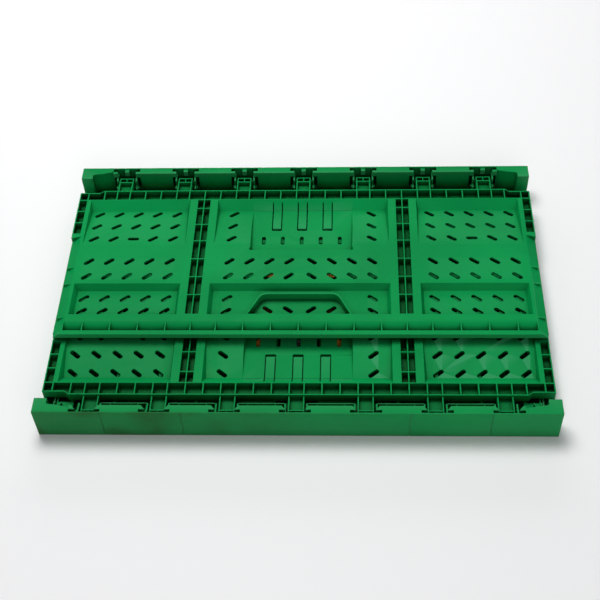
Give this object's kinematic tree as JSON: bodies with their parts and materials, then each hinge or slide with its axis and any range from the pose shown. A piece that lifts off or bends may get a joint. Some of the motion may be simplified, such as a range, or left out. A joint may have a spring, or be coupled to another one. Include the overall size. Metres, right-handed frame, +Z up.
{
  "type": "folding crate",
  "caption": "Folded ventilated plastic storage crate: shallow base tray with long rails, ribbed slotted side walls folded flat on hinges, end walls with sliding latches below.",
  "frame": {"origin": "centre of the folded crate's footprint, on the plane it rests on", "axes": "+X along the long side, +Y from the front rail to the rear rail, +Z up"},
  "size_m": [0.6, 0.4, 0.0455],
  "materials": {
    "green_plastic": "satin moulded polypropylene",
    "orange_plastic": "satin moulded polypropylene"
  },
  "bodies": {
    "base": {"base_tray": "green_plastic", "front_long_wall": "green_plastic", "left_end_wall": "green_plastic", "right_end_wall": "green_plastic"},
    "rear_wall": {"rear_long_wall": "green_plastic"},
    "left_handle": {"left_latch_handle": "orange_plastic"},
    "right_handle": {"right_latch_handle": "orange_plastic"},
    "left_front_bolt": {"left_bolt_front": "orange_plastic"},
    "left_rear_bolt": {"left_bolt_rear": "orange_plastic"},
    "right_front_bolt": {"right_bolt_front": "orange_plastic"},
    "right_rear_bolt": {"right_bolt_rear": "orange_plastic"}
  },
  "joints": [
    {"name": "rear_wall_hinge", "type": "hinge", "parent": "base", "child": "rear_wall", "pos_m": [0, 0.184, 0.024], "axis": [-1, 0, 0], "range_deg": [0, 90]},
    {"name": "left_latch_slide", "type": "slide", "parent": "base", "child": "left_handle", "axis": [-1, 0, 0], "range_m": [0, 0.005]},
    {"name": "right_latch_slide", "type": "slide", "parent": "base", "child": "right_handle", "axis": [1, 0, 0], "range_m": [0, 0.005]},
    {"name": "left_front_bolt_slide", "type": "slide", "parent": "base", "child": "left_front_bolt", "axis": [0, 1, 0], "range_m": [0, 0.005]},
    {"name": "left_rear_bolt_slide", "type": "slide", "parent": "base", "child": "left_rear_bolt", "axis": [0, -1, 0], "range_m": [0, 0.005]},
    {"name": "right_front_bolt_slide", "type": "slide", "parent": "base", "child": "right_front_bolt", "axis": [0, 1, 0], "range_m": [0, 0.005]},
    {"name": "right_rear_bolt_slide", "type": "slide", "parent": "base", "child": "right_rear_bolt", "axis": [0, -1, 0], "range_m": [0, 0.005]}
  ],
  "couplings": [
    {"joint": "left_front_bolt_slide", "follows": "left_latch_slide", "ratio": 1},
    {"joint": "left_rear_bolt_slide", "follows": "left_latch_slide", "ratio": 1},
    {"joint": "right_front_bolt_slide", "follows": "right_latch_slide", "ratio": 1},
    {"joint": "right_rear_bolt_slide", "follows": "right_latch_slide", "ratio": 1}
  ]
}
